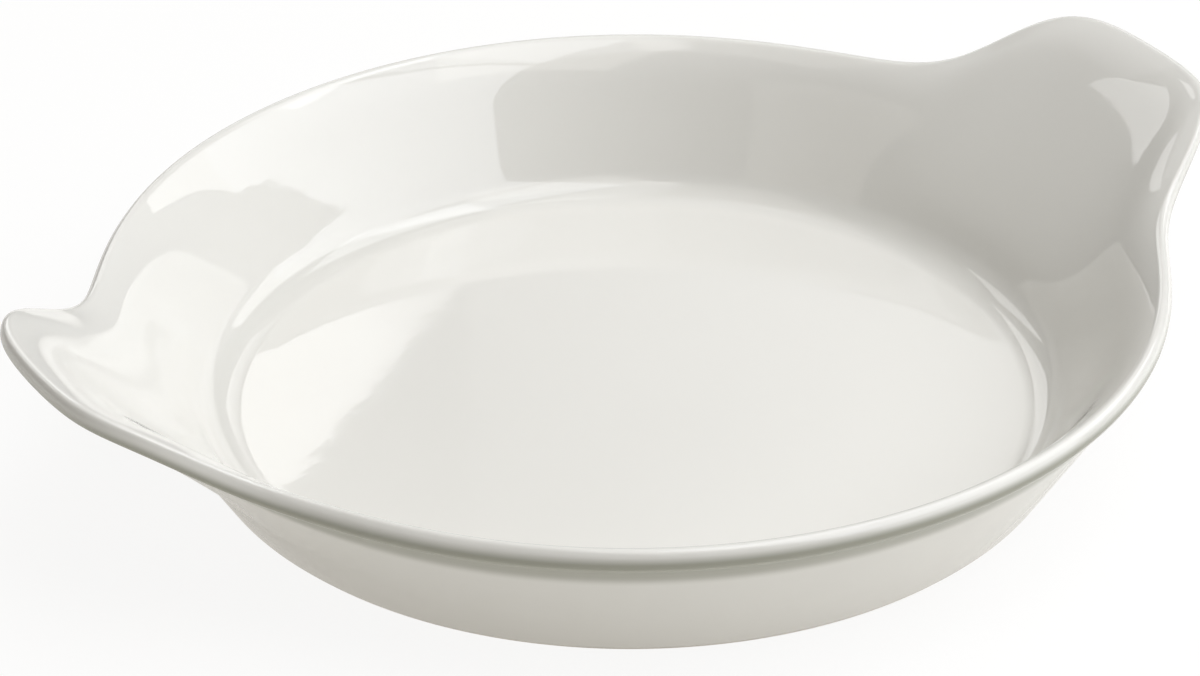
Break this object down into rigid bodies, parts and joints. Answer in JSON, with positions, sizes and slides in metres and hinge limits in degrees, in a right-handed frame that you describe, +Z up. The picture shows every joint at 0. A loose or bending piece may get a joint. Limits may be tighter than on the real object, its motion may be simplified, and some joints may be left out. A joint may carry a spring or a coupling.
{
  "type": "gratin dish",
  "caption": "Round shallow oven dish with a flat floor, a flared side wall, a rolled rim bead and two opposite ears that sweep out and up from the rim.",
  "frame": {"origin": "centre of the dish in plan, on the surface that it stands on", "axes": "+Z up out of the bowl, +X through the middle of the right ear, so the two ears lie along X"},
  "size_m": [0.2494, 0.205, 0.0482],
  "materials": {
    "glaze": "clear gloss glaze over warm white porcelain",
    "bare_foot": "unglazed fired porcelain, wiped clean before firing and ground smooth"
  },
  "bodies": {
    "root": {"well_floor": "glaze", "side_wall": "glaze", "rim_bead": "glaze", "left_ear": "glaze", "right_ear": "glaze", "foot_ring": "bare_foot"}
  },
  "joints": []
}
